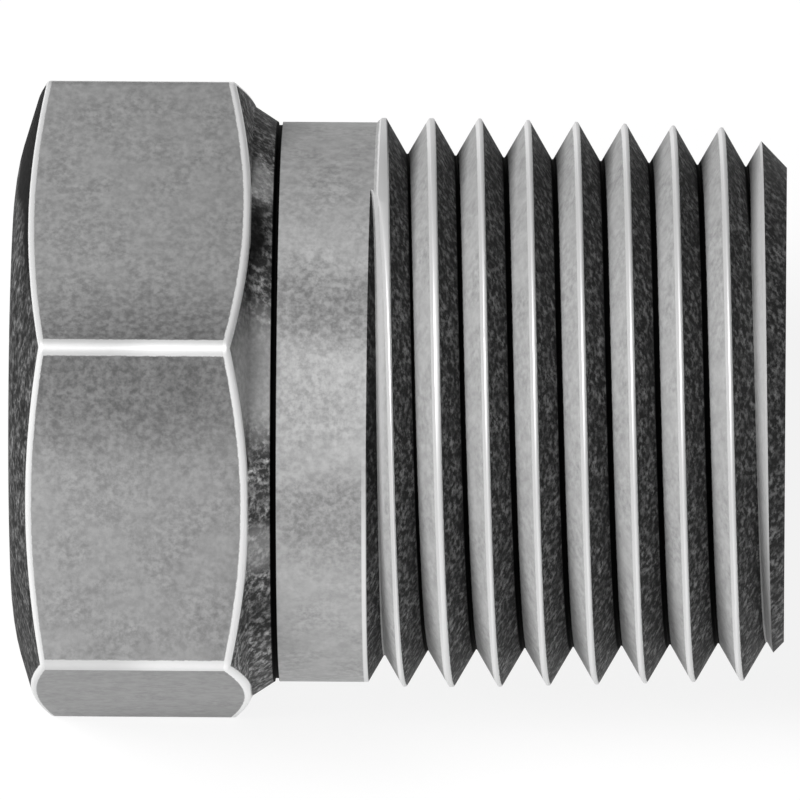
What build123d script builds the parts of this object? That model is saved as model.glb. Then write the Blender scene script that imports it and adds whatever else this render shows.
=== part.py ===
import os
from math import atan, cos, degrees, radians, tan

from build123d import *

# A solid hex head pipe plug with a taper thread, lying on one flat of its head.
# The axis is X. The head reaches to -X and the thread to +X.
# The origin is on the axis at the shoulder, where the head's neck meets the collar.

# Hex head
across_flats = 22.225
head_length = 9.85
corner_round = 0.5
head_face_diameter = 17.0
head_chamfer_angle = 17.0
shoulder_chamfer_angle = 22.0

# Steep conical neck between the shoulder chamfer and the collar
neck_length = 0.85
neck_diameter = 22.1

# Plain collar, with the fine tool line that the turning tool leaves at the neck
collar_diameter = 21.0
collar_length = 3.7
tool_line_width = 0.18
tool_line_depth = 0.12

# Taper thread, right-handed
shank_length = 19.08
blank_diameter = 21.34
end_major_diameter = 20.64
end_chamfer = 1.43
taper_on_diameter = 1 / 16
pitch = 25.4 / 14
thread_angle = 60.0
crest_flat = 0.1
root_flat = 0.06
full_thread_length = 14.9
run_out_turns = 0.62
run_out_length = 0.57
groove_exit_angle = 256.0
cutter_clearance = 0.05

# Sizes that follow from those above
hex_corner_radius = across_flats / 2 / cos(radians(30))
collar_radius = collar_diameter / 2
blank_radius = blank_diameter / 2
neck_radius = neck_diameter / 2
half_taper = taper_on_diameter / 2
flank_slope = tan(radians(thread_angle / 2))
thread_depth = (pitch - crest_flat - root_flat) / 2 / flank_slope
thread_start = shank_length - full_thread_length
start_angle = groove_exit_angle - 360 * full_thread_length / pitch
steel = Color(0.57, 0.57, 0.57)

# Angles about the axis are measured from +Z towards -Y, the way the thread turns.
upper_half = Plane.XZ
lower_half = Plane((0, 0, 0), x_dir=(1, 0, 0), z_dir=(0, 1, 0))


def crest_radius(x):
    # The radius of the taper cone that holds the thread's crests
    return (end_major_diameter + (shank_length - x) * taper_on_diameter) / 2


root_at_start = crest_radius(thread_start) - thread_depth
cutter_height = thread_depth + cutter_clearance
cutter_half_width = root_flat / 2 + cutter_height * flank_slope

# The groove's V section where the full depth begins
groove_section = [
    (thread_start - root_flat / 2, root_at_start),
    (thread_start + root_flat / 2, root_at_start),
    (thread_start + cutter_half_width, root_at_start + cutter_height),
    (thread_start - cutter_half_width, root_at_start + cutter_height),
]

# The hexagon, chamfered on both ends by turning, with its corners lightly rounded
with BuildPart() as head:
    with BuildSketch(Plane.YZ.offset(-head_length)):
        RegularPolygon(across_flats / 2, 6, major_radius=False)
        fillet(vertices(), corner_round)
    extrude(amount=head_length)
    with BuildSketch(lower_half):
        with BuildLine():
            # The turned outline goes just past the hexagon's corners
            face_radius = head_face_diameter / 2
            reach = hex_corner_radius + cutter_clearance
            head_slope = tan(radians(head_chamfer_angle))
            shoulder_slope = tan(radians(shoulder_chamfer_angle))
            Polyline(
                (-head_length, 0),
                (-head_length, face_radius),
                (-head_length + (reach - face_radius) * head_slope, reach),
                (-neck_length - (reach - neck_radius) * shoulder_slope, reach),
                (-neck_length, neck_radius),
                (0, collar_radius),
                (0, 0),
                close=True,
            )
        make_face()
    revolve(axis=Axis.X, mode=Mode.INTERSECT)

# The groove at its full depth, following the taper past the end of the plug
with BuildPart() as groove:
    taper_angle = degrees(atan(half_taper))
    with BuildLine() as groove_path:
        Helix(
            pitch / cos(radians(taper_angle)),
            full_thread_length + pitch,
            root_at_start,
            center=(thread_start, 0, 0),
            direction=(1, 0, 0),
            cone_angle=-taper_angle,
        )
    with BuildSketch(upper_half):
        with BuildLine():
            Polyline(*groove_section, close=True)
        make_face()
    sweep(path=groove_path.line, is_frenet=True)
    split(bisect_by=upper_half, keep=Keep.BOTH)

# The groove's run-out climbs out of the blank beside the collar. The tool draws back along the
# first crest's flank, so the run-out takes less length than the same turns of the thread.
with BuildPart() as run_out:
    climb = blank_radius + cutter_clearance - root_at_start
    climb_angle = degrees(atan(climb / run_out_length))
    with BuildLine() as run_out_path:
        Helix(
            run_out_length / run_out_turns / cos(radians(climb_angle)),
            run_out_length,
            root_at_start,
            center=(thread_start, 0, 0),
            direction=(-1, 0, 0),
            cone_angle=climb_angle,
        )
    with BuildSketch(lower_half):
        with BuildLine():
            Polyline(*groove_section, close=True)
        make_face()
    sweep(path=run_out_path.line, is_frenet=True)
    split(bisect_by=upper_half, keep=Keep.BOTH)

with BuildPart() as plug:
    # Collar and thread blank, turned in one
    with BuildSketch(lower_half):
        with BuildLine():
            step = abs(blank_radius - collar_radius)
            line_radius = collar_radius - tool_line_depth
            Polyline(
                (0, 0),
                (0, line_radius),
                (tool_line_width, line_radius),
                (tool_line_width, collar_radius),
                (collar_length, collar_radius),
                (collar_length + step, blank_radius),
                (shank_length, blank_radius),
                (shank_length, 0),
                close=True,
            )
        make_face()
    revolve(axis=Axis.X)
    # The taper takes down the blank towards the end
    with BuildSketch(lower_half):
        with BuildLine():
            Polyline(
                (0, 0),
                (0, crest_radius(0)),
                (shank_length, crest_radius(shank_length)),
                (shank_length, 0),
                close=True,
            )
        make_face()
    revolve(axis=Axis.X, mode=Mode.INTERSECT)
    end_rim = plug.edges().filter_by(GeomType.CIRCLE).sort_by(Axis.X)[-1]
    chamfer(end_rim, length=end_chamfer)
    # The thread is cut in half turns, from the run-out to the end
    for bite in run_out.solids().sort_by(Axis.X):
        add(bite, rotation=(start_angle + 180, 0, 0), mode=Mode.SUBTRACT)
    for bite in groove.solids().sort_by(Axis.X):
        add(bite, rotation=(start_angle, 0, 0), mode=Mode.SUBTRACT)
    add(head.part)

plug.part.label = "hex_head_plug"
plug.part.color = steel
os.makedirs("parts", exist_ok=True)
export_step(plug.part, "parts/hex_head_plug.step")
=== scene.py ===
from math import atan2, cos, hypot, pi, radians, sin, tan

import bpy
from mathutils import Matrix, Vector


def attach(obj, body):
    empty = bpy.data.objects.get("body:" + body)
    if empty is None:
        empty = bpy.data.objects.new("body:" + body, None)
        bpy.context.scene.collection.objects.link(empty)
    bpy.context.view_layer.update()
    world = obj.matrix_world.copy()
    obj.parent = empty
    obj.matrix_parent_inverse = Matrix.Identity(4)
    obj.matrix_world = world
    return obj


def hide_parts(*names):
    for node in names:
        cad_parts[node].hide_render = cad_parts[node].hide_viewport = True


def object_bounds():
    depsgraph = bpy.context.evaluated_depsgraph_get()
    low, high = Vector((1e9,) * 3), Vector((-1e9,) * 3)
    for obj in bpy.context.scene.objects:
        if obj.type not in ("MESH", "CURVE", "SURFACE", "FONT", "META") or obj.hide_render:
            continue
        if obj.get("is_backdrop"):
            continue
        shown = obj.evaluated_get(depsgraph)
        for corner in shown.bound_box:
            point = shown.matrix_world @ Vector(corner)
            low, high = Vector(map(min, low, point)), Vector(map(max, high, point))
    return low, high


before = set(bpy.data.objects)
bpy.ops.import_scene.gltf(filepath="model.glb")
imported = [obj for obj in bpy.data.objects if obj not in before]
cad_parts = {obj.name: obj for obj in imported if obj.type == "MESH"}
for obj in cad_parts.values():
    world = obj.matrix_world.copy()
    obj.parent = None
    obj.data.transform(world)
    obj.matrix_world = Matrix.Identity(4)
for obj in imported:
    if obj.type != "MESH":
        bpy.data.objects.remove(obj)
cadLow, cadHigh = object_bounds()

# The plug is modelled in millimetres and brought down to metres when it is finished.
# Its axis is X, the head reaches to -X, and the shoulder is at X = 0.
# Angles about the axis are measured from +Z towards -Y, the way the thread turns.

plugSizes = {
    "acrossFlats": 22.225,
    "cornerRound": 0.5,
    "rimRoundShare": 0.5,  # of the corners' round
    "faceRoundShare": 4,
    "roundSegments": 4,
    "headFace": -9.85,
    "faceRadius": 8.5,
    "headChamferAngle": 17,
    "shoulderAngle": 22,
    "pastCorners": 0.05,
    "neckStart": -0.85,
    "neckRadius": 11.05,
    "collarRadius": 10.5,
    "toolLineWidth": 0.18,
    "toolLineDepth": 0.12,
    "collarEnd": 3.7,
    "blankRadius": 10.67,
    "plugEnd": 19.08,
    "endRadius": 10.32,
    "endChamfer": 1.43,
    "halfTaper": 1 / 32,
    "steps": 240,
}
neckStart = plugSizes["neckStart"]
collarRadius = plugSizes["collarRadius"]
collarEnd = plugSizes["collarEnd"]
blankRadius = plugSizes["blankRadius"]
plugEnd = plugSizes["plugEnd"]
apothem = plugSizes["acrossFlats"] / 2
metresPerMm = 0.001
weldDistance = 0.0005
bisectDistance = 0.0001
nearEdge = 0.005  # how near an edge counts as on a plane
longEdge = 3  # a longer edge of the head is one of its long corners
sharpAngles = {"headEdges": 40, "threadEdges": 35, "shading": 22}


def startFresh(piece):
    if bpy.context.object and bpy.context.object.mode != "OBJECT":
        bpy.ops.object.mode_set(mode="OBJECT")
    bpy.ops.object.select_all(action="DESELECT")
    if piece:
        piece.select_set(True)
        bpy.context.view_layer.objects.active = piece


def applyModifier(piece, modifier):
    startFresh(piece)
    bpy.ops.object.modifier_apply(modifier=modifier.name)


def weldAll():
    # Joins doubled points, in edit mode
    bpy.ops.mesh.select_all(action="SELECT")
    bpy.ops.mesh.remove_doubles(threshold=weldDistance)


def turnOutwards():
    bpy.ops.mesh.select_all(action="SELECT")
    bpy.ops.mesh.normals_make_consistent(inside=False)


def selectSharp(angle):
    bpy.ops.mesh.select_mode(type="EDGE")
    bpy.ops.mesh.select_all(action="DESELECT")
    bpy.ops.mesh.edges_select_sharp(sharpness=radians(angle))


def crestRadius(x):
    # The taper cone that the crests lie on
    return plugSizes["endRadius"] + (plugEnd - x) * plugSizes["halfTaper"]


def turnedBlank(name, stations, steps):
    # A disc that is pulled along the axis and scaled at each station, as on a lathe
    startFresh(None)
    lastX, lastRadius = stations[0]
    bpy.ops.mesh.primitive_circle_add(
        vertices=steps, radius=lastRadius, fill_type="NGON",
        location=(lastX, 0, 0), rotation=(0, pi / 2, 0),
    )
    turned = bpy.context.object
    turned.name = name
    bpy.ops.object.transform_apply(location=True, rotation=True, scale=True)
    bpy.ops.object.mode_set(mode="EDIT")
    bpy.ops.mesh.select_all(action="SELECT")
    for x, radius in stations[1:]:
        bpy.ops.mesh.extrude_region_move(TRANSFORM_OT_translate={"value": (x - lastX, 0, 0)})
        factor = radius / lastRadius
        bpy.ops.transform.resize(value=(1, factor, factor), center_override=(x, 0, 0))
        lastX, lastRadius = x, radius
    turnOutwards()
    bpy.ops.object.mode_set(mode="OBJECT")
    return turned


# Turned blank of the whole plug
reach = apothem / cos(pi / 6) + plugSizes["pastCorners"]
headSlope = tan(radians(plugSizes["headChamferAngle"]))
shoulderSlope = tan(radians(plugSizes["shoulderAngle"]))
step = blankRadius - collarRadius
lineRadius = collarRadius - plugSizes["toolLineDepth"]
taperFrom = plugEnd - (blankRadius - plugSizes["endRadius"]) / plugSizes["halfTaper"]
chamferFrom = plugEnd - plugSizes["endChamfer"]
blank = turnedBlank("hexHeadPlug", [
    (plugSizes["headFace"], plugSizes["faceRadius"]),
    (plugSizes["headFace"] + (reach - plugSizes["faceRadius"]) * headSlope, reach),
    (neckStart - (reach - plugSizes["neckRadius"]) * shoulderSlope, reach),
    (neckStart, plugSizes["neckRadius"]),
    (0, collarRadius),
    (0, lineRadius),
    (plugSizes["toolLineWidth"], lineRadius),
    (plugSizes["toolLineWidth"], collarRadius),
    (collarEnd, collarRadius),
    (collarEnd + step, blankRadius),
    (taperFrom, blankRadius),
    (chamferFrom, crestRadius(chamferFrom)),
    (plugEnd, plugSizes["endRadius"] - plugSizes["endChamfer"]),
], plugSizes["steps"])
print("turned blank", len(blank.data.vertices))

# Six flats are milled on the head
bpy.ops.object.mode_set(mode="EDIT")
for side in range(6):
    angle = side * pi / 3
    normal = (0, -sin(angle), cos(angle))
    bpy.ops.mesh.select_all(action="SELECT")
    bpy.ops.mesh.bisect(
        plane_co=(0, normal[1] * apothem, normal[2] * apothem), plane_no=normal,
        use_fill=True, clear_outer=True, threshold=bisectDistance,
    )
weldAll()
turnOutwards()
selectSharp(sharpAngles["headEdges"])
bpy.ops.object.mode_set(mode="OBJECT")

# The long corners get the corners' round, the turned rims half of it, the end face's rim more
weights = blank.data.attributes.new("bevel_weight_edge", "FLOAT", "EDGE")
for edge in blank.data.edges:
    ends = [blank.data.vertices[i].co for i in edge.vertices]
    furthest = max(end.x for end in ends)
    length = abs(ends[0].x - ends[1].x)
    if edge.select and furthest < neckStart - nearEdge:
        isCorner = length > longEdge
        weights.data[edge.index].value = 1 if isCorner else plugSizes["rimRoundShare"]
    elif furthest < plugSizes["headFace"] + nearEdge:
        weights.data[edge.index].value = plugSizes["faceRoundShare"]
rounds = blank.modifiers.new("headRounds", "BEVEL")
rounds.limit_method = "WEIGHT"
rounds.width = plugSizes["cornerRound"] * tan(pi / 6)  # from the round's radius
rounds.segments = plugSizes["roundSegments"]
rounds.use_clamp_overlap = False
applyModifier(blank, rounds)
print("head with its flats", len(blank.data.vertices))


# The thread cutter: a V section screwed along the taper, with the run-out pulled outwards
threadSizes = {
    "pitch": 25.4 / 14,
    "halfAngle": 30,
    "crestFlat": 0.1,
    "rootFlat": 0.06,
    "fullDepthFrom": 4.18,
    "runOutTurns": 0.53,
    "runOutCurve": 0.35,
    "runOutLean": 0.5,
    "turnsPastEnd": 0.5,
    "cutterClearance": 0.3,
    "runOutClearance": 0.05,
    "exitAngle": 256,
    "steps": 240,
}

pitch = threadSizes["pitch"]
fullDepthFrom = threadSizes["fullDepthFrom"]
runOutTurns = threadSizes["runOutTurns"]
halfRoot = threadSizes["rootFlat"] / 2
flankSlope = tan(radians(threadSizes["halfAngle"]))
depth = (pitch - threadSizes["crestFlat"] - threadSizes["rootFlat"]) / 2 / flankSlope
cutterHeight = depth + threadSizes["cutterClearance"]
cutterHalfWidth = halfRoot + cutterHeight * flankSlope
rootRadius = crestRadius(fullDepthFrom) - depth
turns = runOutTurns + (plugEnd - fullDepthFrom) / pitch + threadSizes["turnsPastEnd"]
startX = fullDepthFrom - runOutTurns * pitch
startAngle = radians(threadSizes["exitAngle"]) - 2 * pi * (plugEnd - startX) / pitch
startFresh(None)
bpy.ops.mesh.primitive_plane_add(size=1)
cutter = bpy.context.object
cutter.name = "threadCutter"
bpy.ops.object.mode_set(mode="EDIT")
bpy.ops.mesh.delete(type="ONLY_FACE")
bpy.ops.object.mode_set(mode="OBJECT")
section = [
    (-halfRoot, rootRadius),
    (halfRoot, rootRadius),
    (cutterHalfWidth, rootRadius + cutterHeight),
    (-cutterHalfWidth, rootRadius + cutterHeight),
]
loop = [cutter.data.edges[0].vertices[0]]  # the square's corners in their order round it
while len(loop) < len(section):
    for edge in cutter.data.edges:
        a, b = edge.vertices
        other = b if a == loop[-1] else a if b == loop[-1] else None
        if other is not None and other not in loop:
            loop.append(other)
            break
for index, (x, radius) in zip(loop, section):
    cutter.data.vertices[index].co = (x, 0, radius)
screw = cutter.modifiers.new("groove", "SCREW")
screw.axis = "X"
screw.angle = 2 * pi * turns
screw.screw_offset = pitch * turns
screwSteps = round(threadSizes["steps"] * turns)
screw.steps = screw.render_steps = screwSteps
screw.use_merge_vertices = False
applyModifier(cutter, screw)
climb = blankRadius + threadSizes["runOutClearance"] - rootRadius
for vertex in cutter.data.vertices:
    turn = turns * (vertex.index // len(section)) / screwSteps
    cutIn = min(1, turn / runOutTurns) ** threadSizes["runOutCurve"]
    toGo = runOutTurns - turn
    lift = climb * (1 - cutIn) if cutIn < 1 else toGo * pitch * plugSizes["halfTaper"]
    radius = hypot(vertex.co.y, vertex.co.z)
    angle = atan2(-vertex.co.y, vertex.co.z) + startAngle
    # The run-out's far side follows the collar's end while its depth fades
    vertex.co.x += startX + max(0, toGo) * pitch - max(0, lift) * threadSizes["runOutLean"]
    vertex.co.y = -(radius + lift) * sin(angle)
    vertex.co.z = (radius + lift) * cos(angle)
startFresh(cutter)
bpy.ops.object.mode_set(mode="EDIT")
bpy.ops.mesh.select_all(action="SELECT")
bpy.ops.mesh.fill_holes(sides=len(section))
turnOutwards()
bpy.ops.object.mode_set(mode="OBJECT")
print("thread cutter", len(cutter.data.vertices))

cut = blank.modifiers.new("threadCut", "BOOLEAN")
cut.operation = "DIFFERENCE"
cut.solver = "EXACT"
cut.object = cutter
applyModifier(blank, cut)
bpy.data.objects.remove(cutter)
bpy.ops.object.mode_set(mode="EDIT")
weldAll()
selectSharp(sharpAngles["threadEdges"])
bpy.ops.object.mode_set(mode="OBJECT")

# Crests are lightly rounded, away from the collar's step and the end's chamfer
crestPlan = {
    "fromStep": 0.06,
    "fromChamfer": 0.01,
    "underCone": 0.004,
    "round": 0.03,
    "segments": 2,
    "profile": 0.5,
}
firstX = collarEnd + step + crestPlan["fromStep"]
lastX = chamferFrom - crestPlan["fromChamfer"]
for edge in blank.data.edges:
    if edge.select:
        ends = [blank.data.vertices[i].co for i in edge.vertices]
        low = min(hypot(end.y, end.z) - min(crestRadius(end.x), blankRadius) for end in ends)
        inside = all(firstX < end.x < lastX for end in ends)
        edge.select = inside and low > -crestPlan["underCone"]
for vertex in blank.data.vertices:
    vertex.select = False
for face in blank.data.polygons:
    face.select = False
print("crest edges", sum(edge.select for edge in blank.data.edges))
bpy.ops.object.mode_set(mode="EDIT")
bpy.ops.mesh.bevel(
    offset=crestPlan["round"], offset_type="OFFSET", segments=crestPlan["segments"],
    profile=crestPlan["profile"], affect="EDGES", clamp_overlap=False,
)
weldAll()
turnOutwards()
bpy.ops.transform.resize(value=(metresPerMm,) * 3, center_override=(0, 0, 0))
bpy.ops.object.mode_set(mode="OBJECT")
bpy.ops.object.shade_smooth_by_angle(angle=radians(sharpAngles["shading"]))
print("threaded plug", len(blank.data.vertices), len(blank.data.polygons))

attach(blank, "root")
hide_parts("hex_head_plug")


# Steel: dull grey faces with a fine mottle, dark grainy chamfers, flanks towards the end painted
# dark as shade, rubbed edges brightened into painted highlights, roots painted black as shade.
# A tone is a grey level, and a pair of shares is what a mask takes it down and up to.
steelLook = {
    "flatTone": 0.325,
    "collarTone": 0.41,
    "flankTone": 0.375,
    # The next tone is painted shade on the flanks that face the end, away from the lamp
    "awaySideShadeTone": 0.075,
    "chamferTone": 0.052,
    "shoulderTone": 0.13,
    # The next tone is painted light on places of the shoulder
    "paintedLightTone": 0.55,
    "endTone": 0.24,
    # The next two tones are rubbed edges brightened into painted highlights; the shoulder's edges
    # face away from the lamp and are painted brighter
    "rubbedHighlightTone": 0.74,
    "shoulderRubbed": 0.95,
    # The next tone is painted shade: black roots, tool line and run-out start
    "rootShadeTone": 0.006,
    "darkerPatchShare": 0.58,
    "darkenedShare": 0.05,
    "grainPerMm": 4.3,
    "middlePerGrain": 0.42,
    "patchPerMm": 0.7,
    "workedGrain": 0.2,
    "grainInPatches": (0.35, 1),
    "grainInDarkerPatches": 1.6,
    "workedPatches": (1.04, 0.96),
    "workedBlotches": (0.93, 1.07),
    "shoulderPatches": (0.6, 1.4),
    "chamferBlotches": (0.4, 1.6),
    "betweenSpecks": 0.35,
    "darkSpecks": (1.5, 4.6),
    "chamferSpecks": 2.3,
    "fineMottle": (0.85, 1.15),
    "endBlotches": (0.9, 1.1),
    "endRings": (0.93, 1.07),
    "ringStep": 0.45,
    "ringRipple": 2,
    "workedRoughness": (0.55, 0.65),
    "flankRoughness": 0.75,
    "darkRoughness": 0.7,
    "chamferRoughness": 1,
    "rubbedHighlightRoughness": 0.48,
    "recessRoughness": 0.9,
    "workedMetal": 0.45,
    "flankMetal": 0.3,
    "darkMetal": 0.2,
    "chamferMetal": 0,
    "rubbedHighlightMetal": 0.5,
    "recessMetal": 1,
    "specular": 0.2,
    "bumpStrength": 0.3,
    "bumpHeight": 0.000008,
}

# Three noises for the grain: how fine each is, and the part of its range that is used
grainLook = {
    "fine": {"detail": 3, "roughness": 0.65, "mottle": (0.28, 0.72), "specks": (0.4, 0.72)},
    "middle": {"detail": 2, "roughness": 0.5, "blotches": (0.3, 0.7)},
    "slow": {"detail": 3, "roughness": 0.5, "patches": (0.3, 0.7)},
}

# Marks on the side that is seen: darker patches, darker places and spots of painted light, and how
# far they spread, in millimetres
marks = {
    "flatPatch": {"centre": (-5.4, -6.9, 10.1), "squeeze": (0.35, 1, 1), "radii": (4.6, 0.8)},
    "collarPatch": {"centre": (1.9, -3.6, 9.86), "squeeze": (0.35, 1, 1), "radii": (2.7, 0.4)},
    "lowerPatch": {"centre": (1.9, -9.32, 4.83), "squeeze": (0.35, 1, 1), "radii": (2.8, 0.5)},
    "darkened": {"centre": (-0.9, -0.9, 11.26), "squeeze": (1, 0.6, 1), "radii": (1.4, 0.6)},
    # The next three spots are painted light on the shoulder
    "lightSpot": {"centre": (-0.6, -5.96, 9), "squeeze": (1, 1, 1), "radii": (3.4, 0.9)},
    "upperLightSpot": {"centre": (-0.7, 1.97, 10.62), "squeeze": (1, 1, 1), "radii": (1.5, 0.6)},
    "lowerLightSpot": {"centre": (-0.6, -10.12, 3.78), "squeeze": (1, 1, 1), "radii": (1.4, 0.5)},
}

# How strong the smaller marks are, and where the darkening beside the upper flat lies
markPlan = {
    "lowerPatchShare": 0.45,
    "smallLightSpotShare": 0.5,
    "darkenedAcross": (0, 4),
    "darkenedUnderFlat": (0.5, 2.5),
    "darkenedFade": (0.7, 0),
    "darkenedLean": 0.4,
    "darkenedTop": (9, 10),
}

# Where each kind of surface fades in, each time from the first value to the second.
# The values are millimetres, and for those that face something the share that faces +X.
# A single number is a size or a share.
fades = {
    "ripple": 0.03,
    "facingHead": (-0.3, -0.6),
    "facingEnd": (0.15, 0.4),
    "chamferHalf": (-6, -7),
    "chamferFacing": (-0.5, -0.75),
    "shoulderHalf": (-6, -4),
    "shoulder": (0.1, 0),
    "head": (neckStart + 0.05, neckStart - 0.05),
    "rim": (0.19, 0.14),
    "shoulderRim": 0.07,
    "corner": (0.33, 0.28),
    "cornerShare": 0.85,
    "underFlat": (0.16, 0.1),
    "underCone": (-0.02, 0.05),
    "lessHighlitBack": (5.3, 5.7),
    "lessHighlitTop": (10.98, 11.04),
    "toolLine": (plugSizes["toolLineWidth"] + 0.02, plugSizes["toolLineWidth"]),
    "neckEnd": (-0.06, -0.02),
    "collar": (0.1, 0.25),
    "pastCollar": (collarEnd + 0.1, collarEnd),
    "rimFrom": (collarEnd - 0.36, collarEnd - 0.32),
    "rimTo": (collarEnd + 0.05, collarEnd),
    "rimRadius": (collarRadius - 0.07, collarRadius - 0.02),
    "rimTurned": (0.1, 0.5),
    "turnedY": -0.074,
    "turnedZ": -0.06,
    "thread": (collarEnd - 0.12, collarEnd - 0.02),
    "pastStep": (collarEnd + 0.17, collarEnd + 0.3),
    "crestDrop": 0.06,
    "flankDrop": 0.2,
    "crest": (0.03, -0.02),
    "endCone": (chamferFrom - 0.1, chamferFrom),
    "endConeFacing": (0.3, 0.5),
    "runOutFacing": (-0.78, -0.84),
    "runOutRubbed": (4.3, 4.05),
    "runOutRubbedShare": 0.6,
    "lastFlank": (chamferFrom - 0.1, chamferFrom + 0.1),
    "lastFlankShare": 0.5,
    "root": (-0.17, -0.1),
    "rootFrom": (collarEnd, collarEnd + 0.1),
    "rootFacing": (0.95, 0.85),
    "runOutFrom": (collarEnd - 0.2, collarEnd - 0.1),
    "runOutTo": (4.25, 4.15),
    "runOutTurned": (0.6, 0.2),
    "runOutShare": 0.6,
    "endHalf": (0, 1),
    "discRadii": (7.6, 9.2),  # of the head's end face and the thread's
    "disc": (0, 0.12),
    "discFacing": (0.96, 0.98),
}


def addNode(tree, kind, **settings):
    node = tree.nodes.new(kind)
    for name, value in settings.items():
        setattr(node, name, value)
    return node


def feed(tree, socket, value):
    if isinstance(value, bpy.types.NodeSocket):
        tree.links.new(value, socket)
    else:
        socket.default_value = value


def sums(tree, operation, *values):
    node = addNode(tree, "ShaderNodeMath", operation=operation)
    for socket, value in zip(node.inputs, values):
        feed(tree, socket, value)
    return node.outputs[0]


def chained(tree, operation, values):
    total = values[0]
    for value in values[1:]:
        total = sums(tree, operation, total, value)
    return total


def times(tree, *values):
    return chained(tree, "MULTIPLY", values)


def plus(tree, *values):
    return chained(tree, "ADD", values)


def minus(tree, *values):
    return chained(tree, "SUBTRACT", values)


def largest(tree, *values):
    return chained(tree, "MAXIMUM", values)


def smallest(tree, *values):
    return chained(tree, "MINIMUM", values)


def absolute(tree, value):
    return sums(tree, "ABSOLUTE", value)


def ramp(tree, value, span, ends=(0, 1)):
    # A smooth step from one end to the other while the value goes through the span
    node = addNode(tree, "ShaderNodeMapRange", interpolation_type="SMOOTHSTEP")
    for socket, given in zip(node.inputs[:5], (value, *span, *ends)):
        feed(tree, socket, given)
    return node.outputs[0]


def blend(tree, mask, first, second):
    node = addNode(tree, "ShaderNodeMix", data_type="FLOAT")
    for socket, value in zip((node.inputs[0], *node.inputs[2:4]), (mask, first, second)):
        feed(tree, socket, value)
    return node.outputs[0]


def vectorSums(tree, operation, *values):
    node = addNode(tree, "ShaderNodeVectorMath", operation=operation)
    for socket, value in zip(node.inputs, values):
        feed(tree, socket, value)
    return node.outputs["Value" if operation == "LENGTH" else "Vector"]


def noise(tree, place, scale, plan):
    node = addNode(tree, "ShaderNodeTexNoise")
    feed(tree, node.inputs["Vector"], place)
    feed(tree, node.inputs["Scale"], scale)
    node.inputs["Detail"].default_value = plan["detail"]
    node.inputs["Roughness"].default_value = plan["roughness"]
    return node.outputs["Fac"]


def newGroup(name, inputs, outputs):
    group = bpy.data.node_groups.new(name, "ShaderNodeTree")
    for label, kind in inputs:
        group.interface.new_socket(name=label, in_out="INPUT", socket_type="NodeSocket" + kind)
    for label in outputs:
        group.interface.new_socket(name=label, in_out="OUTPUT", socket_type="NodeSocketFloat")
    given = addNode(group, "NodeGroupInput").outputs
    out = addNode(group, "NodeGroupOutput").inputs
    return group, given, out


def steelGrain():
    # Fine mottle, specks and slow patches, all from the place in millimetres
    group, given, out = newGroup(
        "steelGrain",
        [("Place", "Vector"), ("Grain", "Float"), ("Patch", "Float")],
        ["Mottle", "Speck", "Blotch", "Patches"],
    )
    place = given["Place"]
    fine = noise(group, place, given["Grain"], grainLook["fine"])
    feed(group, out["Mottle"], ramp(group, fine, grainLook["fine"]["mottle"]))
    feed(group, out["Speck"], ramp(group, fine, grainLook["fine"]["specks"]))
    middleScale = times(group, given["Grain"], steelLook["middlePerGrain"])
    middle = noise(group, place, middleScale, grainLook["middle"])
    feed(group, out["Blotch"], ramp(group, middle, grainLook["middle"]["blotches"]))
    slow = noise(group, place, given["Patch"], grainLook["slow"])
    feed(group, out["Patches"], ramp(group, slow, grainLook["slow"]["patches"]))
    return group


def softSpot(group, place, spot):
    # A soft-edged spot round a place, given with its squeeze along each axis and its two radii
    away = vectorSums(group, "SUBTRACT", place, spot["centre"])
    length = vectorSums(group, "LENGTH", vectorSums(group, "MULTIPLY", away, spot["squeeze"]))
    return ramp(group, length, spot["radii"])


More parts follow.
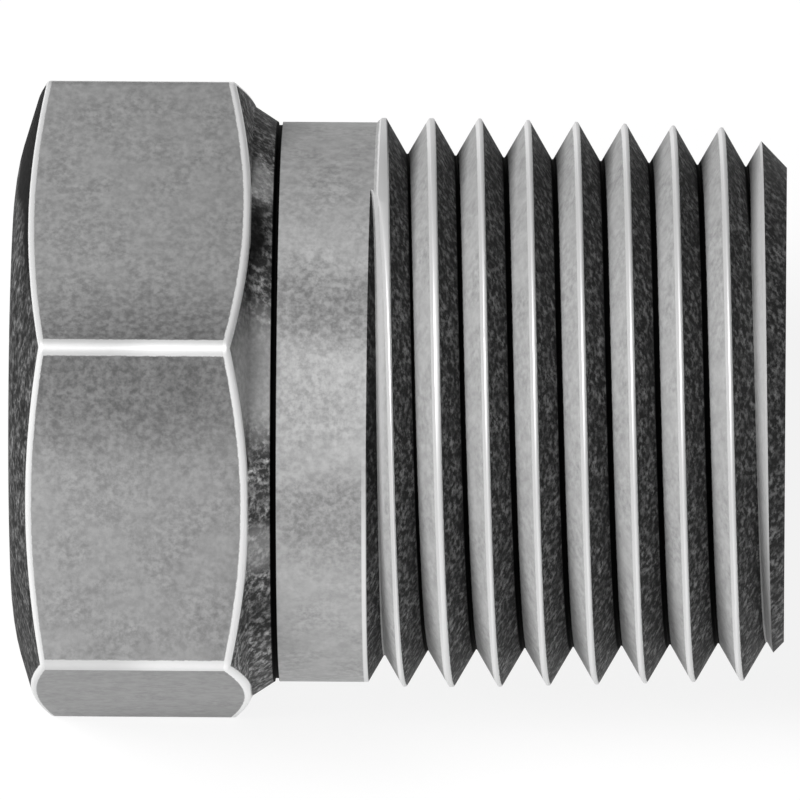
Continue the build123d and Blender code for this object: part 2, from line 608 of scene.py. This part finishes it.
def plugSurfaces():
    # Tells the plug's surfaces apart: rubbed edges with painted highlights, roots and lines
    # painted black as shade, dark faces, collar, ends
    group, given, out = newGroup(
        "plugSurfaces",
        [("Place", "Vector"), ("Facing", "Vector"), ("Unevenness", "Float")],
        ["Rubbed", "PaintedRecessShade", "Dark", "Chamfer", "Shoulder", "Collar", "Flank", "Ends", "Rings",
         "DarkerPatches", "Darkened", "PaintedLight"],
    )
    place = given["Place"]
    split = addNode(group, "ShaderNodeSeparateXYZ")
    feed(group, split.inputs[0], place)
    x, y, z = split.outputs
    facing = addNode(group, "ShaderNodeSeparateXYZ")
    feed(group, facing.inputs[0], given["Facing"])
    facingX = facing.outputs[0]
    radius = sums(group, "SQRT", plus(group, times(group, y, y), times(group, z, z)))
    ripple = times(group, minus(group, given["Unevenness"], 0.5), fades["ripple"])
    towardsHead = ramp(group, facingX, fades["facingHead"])
    towardsEnd = ramp(group, facingX, fades["facingEnd"])
    shoulderHalf = ramp(group, x, fades["shoulderHalf"])
    chamferHalf = ramp(group, x, fades["chamferHalf"])

    # Head: how deep under the flats, how far inside the turned cones, how far from a corner
    across = times(group, y, sin(pi / 3))
    along = times(group, z, cos(pi / 3))
    spans = [
        absolute(group, z),
        absolute(group, plus(group, along, across)),
        absolute(group, minus(group, along, across)),
    ]
    underFlat = minus(group, apothem, largest(group, *spans))
    insideFace = times(group, minus(group, plugSizes["faceRadius"], radius), headSlope)
    insideNeck = times(group, minus(group, plugSizes["neckRadius"], radius), shoulderSlope)
    fromFace = plus(group, minus(group, x, plugSizes["headFace"]), insideFace)
    fromNeck = plus(group, minus(group, neckStart, x), insideNeck)
    underCone = smallest(group, fromFace, fromNeck)
    wider = times(group, shoulderHalf, fades["shoulderRim"])
    fromRim = plus(group, largest(group, underFlat, minus(group, underCone, wider)), ripple)
    rims = ramp(group, fromRim, fades["rim"])
    onSide = times(
        group, ramp(group, underFlat, fades["underFlat"]),
        ramp(group, underCone, fades["underCone"]),
    )
    fromCorner = plus(group, smallest(group, *spans), ripple)
    corners = times(group, ramp(group, fromCorner, fades["corner"]), onSide)
    # The corner behind the upper flat gets little of the rubbed edges' painted highlight on that
    # flat
    lessHighlit = times(group, ramp(group, y, fades["lessHighlitBack"]), ramp(group, z, fades["lessHighlitTop"]))
    corners = times(group, corners, blend(group, lessHighlit, fades["cornerShare"], 0))
    headEdges = times(group, largest(group, rims, corners), ramp(group, x, fades["head"]))

    # Thread: how deep under the crests' cone, which is held to the blank's radius near the collar
    cone = plus(group, times(group, x, -plugSizes["halfTaper"]), crestRadius(0))
    endCone = minus(group, chamferFrom + plugSizes["endRadius"], x)
    crest = smallest(group, cone, blankRadius, endCone)
    underCrest = plus(group, minus(group, crest, radius), ripple)
    onThread = ramp(group, x, fades["thread"])
    pastStep = ramp(group, x, fades["pastStep"])
    onFlank = times(group, towardsHead, pastStep)
    drop = blend(group, onFlank, fades["crestDrop"], fades["flankDrop"])
    crests = times(group, ramp(group, minus(group, underCrest, drop), fades["crest"]), onThread)
    onEndCone = times(
        group, ramp(group, x, fades["endCone"]), ramp(group, facingX, fades["endConeFacing"]),
    )
    crests = times(group, crests, minus(group, 1, onEndCone))
    # The run-out's own flank and the last flank get the rubbed edge and painted highlight of the
    # crests beside them
    runOutFlank = times(
        group, ramp(group, facingX, fades["runOutFacing"]), ramp(group, x, fades["runOutRubbed"]),
        onThread, fades["runOutRubbedShare"],
    )
    lastFlank = times(
        group, towardsHead, ramp(group, x, fades["lastFlank"]), fades["lastFlankShare"],
    )
    # The collar's far rim gets a painted highlight where the run-out cuts it, on the side turned
    # down to the floor
    turnedDown = plus(group, times(group, y, fades["turnedY"]), times(group, z, fades["turnedZ"]))
    collarRim = times(
        group, ramp(group, x, fades["rimFrom"]), ramp(group, x, fades["rimTo"]),
        ramp(group, radius, fades["rimRadius"]), ramp(group, turnedDown, fades["rimTurned"]),
    )
    rubbedAndHighlit = largest(group, headEdges, crests, runOutFlank, lastFlank, collarRim)
    feed(group, out["Rubbed"], rubbedAndHighlit)

    # Painted shade: the roots of the thread and the tool line at the shoulder are made black
    roots = times(
        group, ramp(group, minus(group, underCrest, depth), fades["root"]),
        ramp(group, x, fades["rootFrom"]), ramp(group, facingX, fades["rootFacing"]),
    )
    line = times(group, ramp(group, x, fades["toolLine"]), ramp(group, x, fades["neckEnd"]))
    # Painted shade: the shallow start of the run-out is made black
    runOutShade = times(
        group, ramp(group, x, fades["runOutFrom"]), ramp(group, x, fades["runOutTo"]), towardsEnd,
        ramp(group, turnedDown, fades["runOutTurned"]), fades["runOutShare"],
    )
    feed(group, out["PaintedRecessShade"], largest(group, roots, line, runOutShade))

    # Darker faces: all that face the end, where the thread's flanks are painted shade on the side
    # away from the lamp, and the head's chamfers
    headCone = times(group, ramp(group, facingX, fades["chamferFacing"]), chamferHalf)
    onCollar = times(group, ramp(group, x, fades["collar"]), ramp(group, x, fades["pastCollar"]))
    feed(group, out["Dark"], largest(group, towardsEnd, headCone))
    feed(group, out["Chamfer"], headCone)
    feed(group, out["Shoulder"], times(group, ramp(group, x, fades["shoulder"]), shoulderHalf))
    feed(group, out["Collar"], onCollar)
    feed(group, out["Flank"], times(group, towardsHead, onThread))
    # The end faces, with faint rings from facing off
    discRadius = plus(group, ramp(group, x, fades["endHalf"], fades["discRadii"]), ripple)
    onDisc = ramp(group, minus(group, discRadius, radius), fades["disc"])
    squareOn = ramp(group, absolute(group, facingX), fades["discFacing"])
    feed(group, out["Ends"], times(group, onDisc, squareOn))
    unevenRadius = plus(group, radius, times(group, ripple, steelLook["ringRipple"]))
    rings = sums(group, "SINE", times(group, unevenRadius, 2 * pi / steelLook["ringStep"]))
    feed(group, out["Rings"], sums(group, "MULTIPLY_ADD", rings, 0.5, 0.5))

    # Darker grainy patches on the front flat, below its upper corner, and on the collar
    spots = {name: softSpot(group, place, mark) for name, mark in marks.items()}
    lowerPatch = times(group, spots["lowerPatch"], markPlan["lowerPatchShare"])
    collarPatches = times(group, largest(group, spots["collarPatch"], lowerPatch), onCollar)
    feed(group, out["DarkerPatches"], largest(group, spots["flatPatch"], collarPatches))
    # Darker places in the head's chamfer beside the upper flat, and on the shoulder near its
    # middle
    oilReach = ramp(group, y, markPlan["darkenedAcross"], markPlan["darkenedUnderFlat"])
    oilHeight = plus(group, times(group, y, markPlan["darkenedLean"]), z)
    besideFlat = times(
        group, ramp(group, minus(group, underFlat, oilReach), markPlan["darkenedFade"]),
        ramp(group, oilHeight, markPlan["darkenedTop"]), chamferHalf,
    )
    feed(group, out["Darkened"], largest(group, besideFlat, spots["darkened"]))
    # Painted light on places of the shoulder
    smallLightSpots = largest(group, spots["upperLightSpot"], spots["lowerLightSpot"])
    smallLightSpots = times(group, smallLightSpots, markPlan["smallLightSpotShare"])
    feed(group, out["PaintedLight"], largest(group, spots["lightSpot"], smallLightSpots))
    return group


steel = bpy.data.materials.new("wornSteelWithPaintedLight")
steel.use_nodes = True
tree = steel.node_tree
shader = tree.nodes["Principled BSDF"]
source = addNode(tree, "ShaderNodeTexCoord")
millimetres = addNode(tree, "ShaderNodeVectorMath", operation="SCALE")
feed(tree, millimetres.inputs[0], source.outputs["Object"])
millimetres.inputs["Scale"].default_value = 1 / metresPerMm
grain = addNode(tree, "ShaderNodeGroup", node_tree=steelGrain())
feed(tree, grain.inputs["Place"], millimetres.outputs[0])
grain.inputs["Grain"].default_value = steelLook["grainPerMm"]
grain.inputs["Patch"].default_value = steelLook["patchPerMm"]
mottle, speck, blotch, patches = grain.outputs
surfaces = addNode(tree, "ShaderNodeGroup", node_tree=plugSurfaces())
feed(tree, surfaces.inputs["Place"], millimetres.outputs[0])
feed(tree, surfaces.inputs["Facing"], source.outputs["Normal"])
feed(tree, surfaces.inputs["Unevenness"], mottle)
(rubbedAndHighlit, paintedRecessShade, dark, chamfer, shoulder, collar, flank, ends, rings,
 darkerPatches, darkened, paintedLight) = surfaces.outputs

# Worked faces: flats, collar and the flanks towards the head, which face the lamp and are painted
# lighter than the flanks towards the end
worked = blend(tree, collar, steelLook["flatTone"], steelLook["collarTone"])
worked = blend(tree, flank, worked, steelLook["flankTone"])
worked = blend(tree, darkerPatches, worked, times(tree, worked, steelLook["darkerPatchShare"]))
grainShare = blend(tree, patches, *steelLook["grainInPatches"])
grainShare = blend(tree, darkerPatches, grainShare, steelLook["grainInDarkerPatches"])
spread = times(tree, sums(tree, "MULTIPLY_ADD", mottle, 2, -1), grainShare)
worked = times(
    tree, worked, sums(tree, "MULTIPLY_ADD", spread, steelLook["workedGrain"], 1),
    blend(tree, patches, *steelLook["workedPatches"]),
    blend(tree, blotch, *steelLook["workedBlotches"]),
)

# Dark faces: flanks towards the end, painted dark as shade on the side away from the lamp, both
# chamfers of the head, and the end faces
onShoulder = blend(tree, patches, *steelLook["shoulderPatches"])
onShoulder = times(tree, onShoulder, steelLook["shoulderTone"])
onChamfer = blend(tree, blotch, *steelLook["chamferBlotches"])
onChamfer = times(tree, onChamfer, steelLook["chamferTone"])
dull = blend(tree, shoulder, steelLook["awaySideShadeTone"], onShoulder)
dull = blend(tree, chamfer, dull, onChamfer)
specks = blend(tree, blotch, *steelLook["darkSpecks"])
specks = blend(tree, chamfer, specks, steelLook["chamferSpecks"])
dull = times(tree, dull, blend(tree, speck, steelLook["betweenSpecks"], specks))
mottled = blend(tree, mottle, *steelLook["fineMottle"])
# Painted light on places of the shoulder
paintedLit = times(tree, mottled, steelLook["paintedLightTone"])
dull = blend(tree, times(tree, paintedLight, shoulder), dull, paintedLit)
# Darker places beside the upper flat and on the shoulder
dull = times(tree, dull, blend(tree, darkened, 1, steelLook["darkenedShare"]))
faced = times(
    tree, mottled, steelLook["endTone"], blend(tree, blotch, *steelLook["endBlotches"]),
    blend(tree, rings, *steelLook["endRings"]),
)
dull = blend(tree, ends, dull, faced)

# The two together, then rubbed edges brightened into painted highlights and roots painted black as
# shade over them
tone = blend(tree, dark, worked, dull)
# Rubbed edges brightened into painted highlights, brighter on the shoulder, whose edges face away
# from the lamp
rubbedHighlightTone = blend(tree, shoulder, steelLook["rubbedHighlightTone"], steelLook["shoulderRubbed"])
tone = blend(tree, rubbedAndHighlit, tone, rubbedHighlightTone)
tone = blend(tree, paintedRecessShade, tone, steelLook["rootShadeTone"])
colour = addNode(tree, "ShaderNodeCombineColor")
for socket in colour.inputs:
    feed(tree, socket, tone)
feed(tree, shader.inputs["Base Color"], colour.outputs[0])
rough = blend(tree, mottle, *steelLook["workedRoughness"])
rough = blend(tree, flank, rough, steelLook["flankRoughness"])
darkRough = blend(tree, chamfer, steelLook["darkRoughness"], steelLook["chamferRoughness"])
rough = blend(tree, dark, rough, darkRough)
rough = blend(tree, rubbedAndHighlit, rough, steelLook["rubbedHighlightRoughness"])
rough = blend(tree, paintedRecessShade, rough, steelLook["recessRoughness"])
feed(tree, shader.inputs["Roughness"], rough)
metal = blend(tree, flank, steelLook["workedMetal"], steelLook["flankMetal"])
darkMetal = blend(tree, chamfer, steelLook["darkMetal"], steelLook["chamferMetal"])
metal = blend(tree, dark, metal, darkMetal)
metal = blend(tree, rubbedAndHighlit, metal, steelLook["rubbedHighlightMetal"])
metal = blend(tree, paintedRecessShade, metal, steelLook["recessMetal"])
feed(tree, shader.inputs["Metallic"], metal)
shader.inputs["Specular IOR Level"].default_value = steelLook["specular"]
bump = addNode(tree, "ShaderNodeBump")
bump.inputs["Strength"].default_value = steelLook["bumpStrength"]
bump.inputs["Distance"].default_value = steelLook["bumpHeight"]
feed(tree, bump.inputs["Height"], times(tree, mottle, blend(tree, rubbedAndHighlit, 1, 0)))
feed(tree, shader.inputs["Normal"], bump.outputs[0])
blank.data.materials.clear()
blank.data.materials.append(steel)
print("steel", len(tree.nodes))

# Pale floor that the plug lies on. The camera and reflections see it nearly white, and it keeps
# a soft shadow.
floorPlan = {"size": 4, "tone": 0.95, "roughness": 0.9, "whiteShare": 0.88}
startFresh(None)
bpy.ops.mesh.primitive_plane_add(size=floorPlan["size"], location=(0, 0, -apothem * metresPerMm))
floor = bpy.context.object
floor.name = "paleFloor"
bpy.ops.object.transform_apply(location=True, rotation=True, scale=True)
floorPaint = bpy.data.materials.new("palePaint")
floorPaint.use_nodes = True
tree = floorPaint.node_tree
floorShader = tree.nodes["Principled BSDF"]
floorShader.inputs["Base Color"].default_value = (*[floorPlan["tone"]] * 3, 1)
floorShader.inputs["Roughness"].default_value = floorPlan["roughness"]
floorShader.inputs["Specular IOR Level"].default_value = 0
paths = addNode(tree, "ShaderNodeLightPath")
seenBy = [paths.outputs["Is " + kind + " Ray"] for kind in ("Camera", "Glossy", "Transmission")]
white = addNode(tree, "ShaderNodeEmission")
white.inputs["Color"].default_value = (1, 1, 1, 1)
white.inputs["Strength"].default_value = 1
mixed = addNode(tree, "ShaderNodeMixShader")
feed(tree, mixed.inputs[0], times(tree, largest(tree, *seenBy), floorPlan["whiteShare"]))
feed(tree, mixed.inputs[1], floorShader.outputs[0])
feed(tree, mixed.inputs[2], white.outputs[0])
feed(tree, tree.nodes["Material Output"].inputs["Surface"], mixed.outputs[0])
floor.data.materials.append(floorPaint)
floor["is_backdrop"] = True
print("floor")


def awayTowards(azimuth, elevation):
    # Azimuth 0 is the side that the photo shows, and 90 is the thread's end
    a, e = radians(azimuth), radians(elevation)
    return Vector((sin(a) * cos(e), -cos(a) * cos(e), sin(e)))


# Camera: a long lens that looks down on the front of the plug
cameraPlan = {
    "azimuth": 1.47,
    "elevation": 51.1,
    "roll": -0.77,
    "distance": 0.9,
    "pixelsPerMetre": 26650,
    "picture": 800,
    "sensor": 36,
    "target": (0.00455, 0, 0),
    "targetPixel": (398.2, 402.3),
    "clip": (0.1, 20),
}


def cameraDirections(azimuth, elevation, roll):
    # The camera's right, up and back directions
    back = awayTowards(azimuth, elevation)
    right = Vector((cos(radians(azimuth)), sin(radians(azimuth)), 0))
    up = back.cross(right)
    r = radians(roll)
    return right * cos(r) + up * sin(r), up * cos(r) - right * sin(r), back


right, up, back = cameraDirections(
    cameraPlan["azimuth"], cameraPlan["elevation"], cameraPlan["roll"],
)
middle = cameraPlan["picture"] / 2
aim = Vector(cameraPlan["target"])
aim += right * (middle - cameraPlan["targetPixel"][0]) / cameraPlan["pixelsPerMetre"]
aim += up * (cameraPlan["targetPixel"][1] - middle) / cameraPlan["pixelsPerMetre"]
bpy.ops.object.camera_add()
camera = bpy.context.object
camera.name = "camera"
turned = Matrix((right, up, back)).transposed().to_4x4()
camera.matrix_world = Matrix.Translation(aim + back * cameraPlan["distance"]) @ turned
pictureAtTarget = cameraPlan["picture"] / cameraPlan["pixelsPerMetre"]
camera.data.sensor_width = cameraPlan["sensor"]
camera.data.lens = cameraPlan["distance"] * cameraPlan["sensor"] / pictureAtTarget
camera.data.clip_start, camera.data.clip_end = cameraPlan["clip"]
bpy.context.scene.camera = camera

# Light: one square soft box and a weak white world
studioLight = {
    "azimuth": -59.7,
    "elevation": 51.2,
    "distance": 1.0,
    "size": 0.4,
    "power": 14.3,
    "target": (0.004, 0, 0),
    "world": 0.1,
}
away = awayTowards(studioLight["azimuth"], studioLight["elevation"])
bpy.ops.object.light_add(type="AREA")
lamp = bpy.context.object
lamp.name = "keyLamp"
place = Matrix.Translation(Vector(studioLight["target"]) + away * studioLight["distance"])
lamp.matrix_world = place @ away.to_track_quat("Z", "Y").to_matrix().to_4x4()
lamp.data.size = studioLight["size"]
lamp.data.energy = studioLight["power"]
world = bpy.data.worlds.new("studio")
bpy.context.scene.world = world
world.use_nodes = True
background = world.node_tree.nodes["Background"]
background.inputs["Color"].default_value = (1, 1, 1, 1)
background.inputs["Strength"].default_value = studioLight["world"]
bpy.context.scene.view_settings.view_transform = "Standard"
print("camera and light")

low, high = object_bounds()
corners = (*cadLow, *cadHigh, *low, *high)
print("boxes in millimetres", [round(c / metresPerMm, 3) for c in corners])
